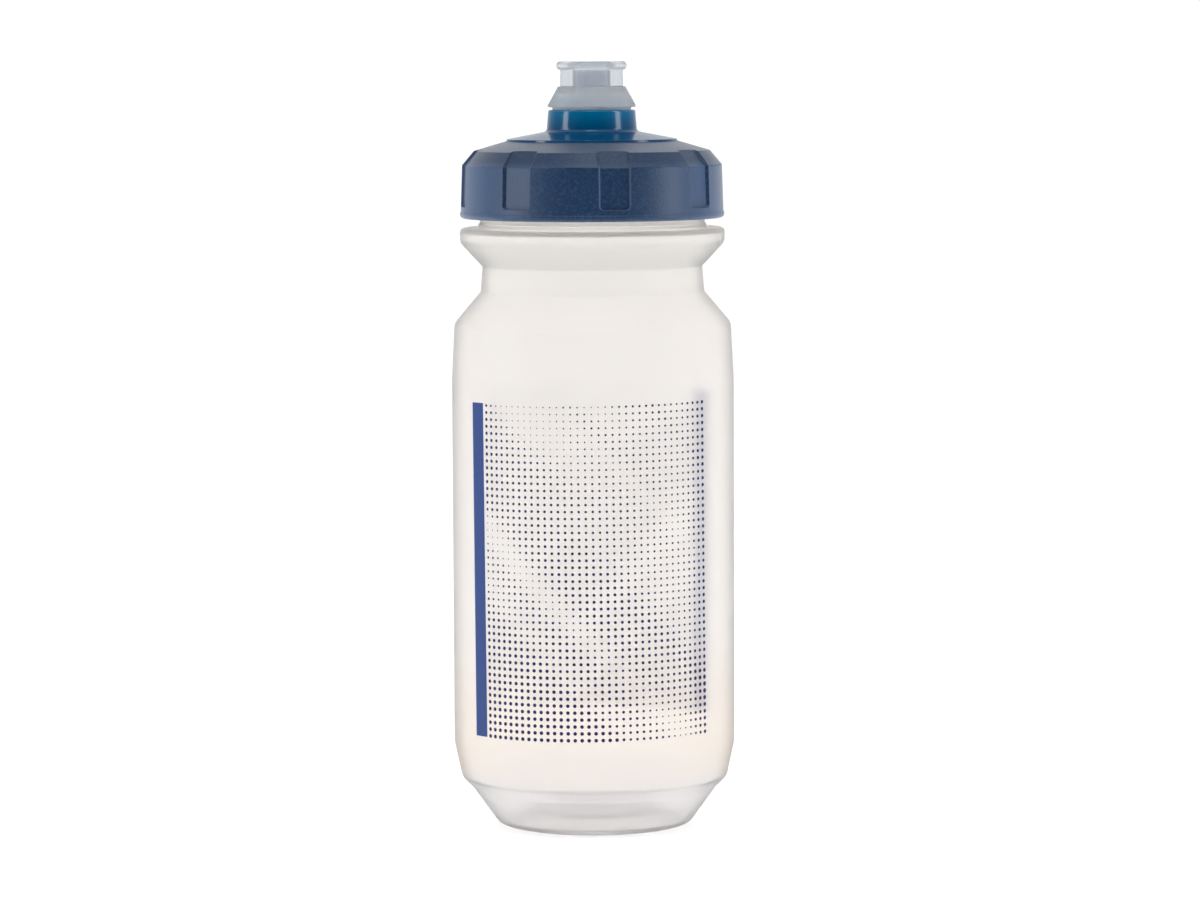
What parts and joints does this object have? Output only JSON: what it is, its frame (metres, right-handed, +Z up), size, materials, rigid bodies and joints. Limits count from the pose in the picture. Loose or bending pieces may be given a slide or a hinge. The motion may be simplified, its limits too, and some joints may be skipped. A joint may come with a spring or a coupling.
{
  "type": "bicycle water bottle",
  "caption": "Squeeze bottle for a bicycle cage: translucent body with a cage groove, screw cap with finger recesses, and a pull-up drinking mouthpiece.",
  "frame": {"origin": "on the bottle's axis, in the plane its foot ring stands on", "axes": "+Z up along the bottle's axis to the mouthpiece; -Y towards the viewer, at the middle of the front dotted print; +X to the viewer's right"},
  "size_m": [0.0734, 0.0734, 0.1988],
  "materials": {
    "bottle_ldpe": "milky translucent, softly satin",
    "cap_matt": "fine spark-eroded grain, navy",
    "nozzle_gloss": "polished, slightly translucent teal blue",
    "mouthpiece_soft": "frosted translucent soft plastic",
    "gasket_silicone": "smooth silicone"
  },
  "bodies": {
    "bottle": {"bottle": "bottle_ldpe"},
    "seal": {"cap_gasket": "gasket_silicone"},
    "cap": {"screw_cap": "cap_matt", "nozzle_base": "nozzle_gloss"},
    "mouthpiece": {"mouthpiece": "mouthpiece_soft"}
  },
  "joints": [
    {"name": "cap_lift", "type": "slide", "parent": "bottle", "child": "seal", "axis": [0, 0, 1], "range_m": [0, 0.016]},
    {"name": "cap_turn", "type": "hinge", "parent": "seal", "child": "cap", "pos_m": [0, 0, 0.165], "axis": [0, 0, 1], "range_deg": [0, 1152]},
    {"name": "mouthpiece_pull", "type": "slide", "parent": "cap", "child": "mouthpiece", "axis": [0, 0, 1], "range_m": [0, 0.0064]}
  ],
  "couplings": [
    {"joint": "cap_turn", "follows": "cap_lift", "rad_per_m": 1256.6}
  ]
}
